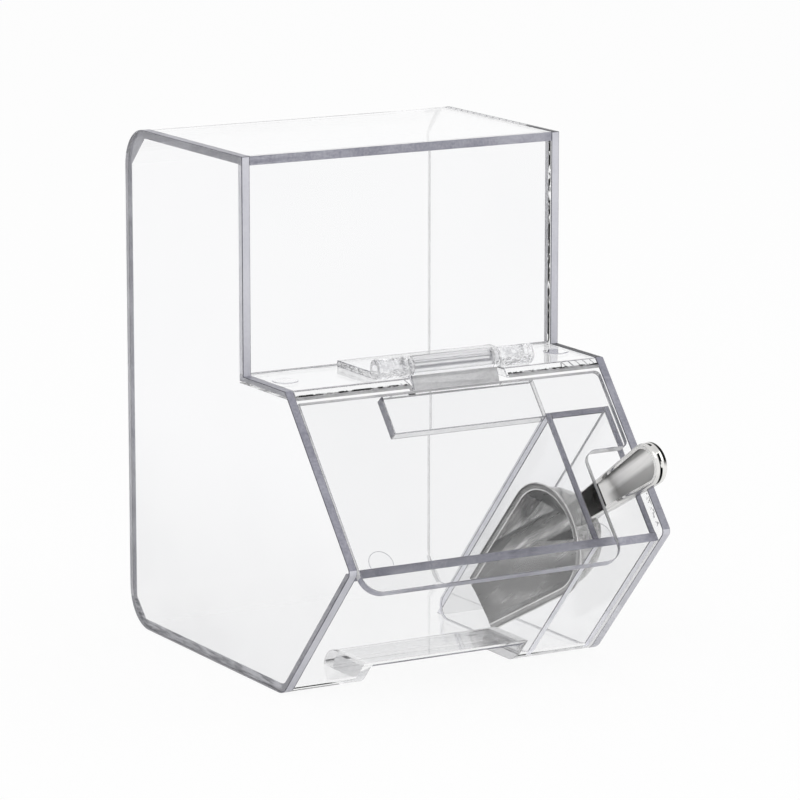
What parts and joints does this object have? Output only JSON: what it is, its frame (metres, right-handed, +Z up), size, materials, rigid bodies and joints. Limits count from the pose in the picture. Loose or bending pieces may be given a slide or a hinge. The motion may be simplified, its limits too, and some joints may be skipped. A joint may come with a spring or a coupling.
{
  "type": "candy bin with flip lid and scoop",
  "caption": "Clear acrylic countertop candy bin with a stepped tower, a hinged flip lid over its sloping front, and a side pocket that holds a polished metal scoop.",
  "frame": {"origin": "on the table under the middle of the bin's width, halfway from its back to its nose", "axes": "+X to the right as seen from the front, +Y to the back, +Z up; the lid and the scoop face -Y"},
  "size_m": [0.16, 0.2275, 0.23],
  "materials": {
    "acrylic": "clear, polished",
    "hinge_plastic": "clear, moulded",
    "bumper": "clear, soft",
    "scoop_metal": "polished outside, brushed inside"
  },
  "bodies": {
    "bin": {"side_panel_left": "acrylic", "side_panel_right": "acrylic", "body_wrap": "acrylic", "tower_front": "acrylic", "ledge_plate": "acrylic", "pocket_divider": "acrylic", "pocket_wall": "acrylic", "pocket_ramp": "acrylic", "hinge_leaf_fixed": "hinge_plastic", "hinge_pin": "hinge_plastic", "ledge_dot_left": "bumper", "ledge_dot_right": "bumper"},
    "lid": {"lid_panel": "acrylic", "hinge_leaf_lid": "hinge_plastic", "lid_dot_left": "bumper", "lid_dot_right": "bumper"},
    "scoop": {"scoop_bowl": "scoop_metal", "scoop_handle": "scoop_metal"}
  },
  "joints": [
    {"name": "lid_hinge", "type": "hinge", "parent": "bin", "child": "lid", "pos_m": [0.005, -0.0434, 0.1385], "axis": [-1, 0, 0], "range_deg": [0, 158]},
    {"name": "scoop_draw", "type": "slide", "parent": "bin", "child": "scoop", "axis": [0.0484, -0.7919, 0.6088], "range_m": [0, 0.018]}
  ]
}
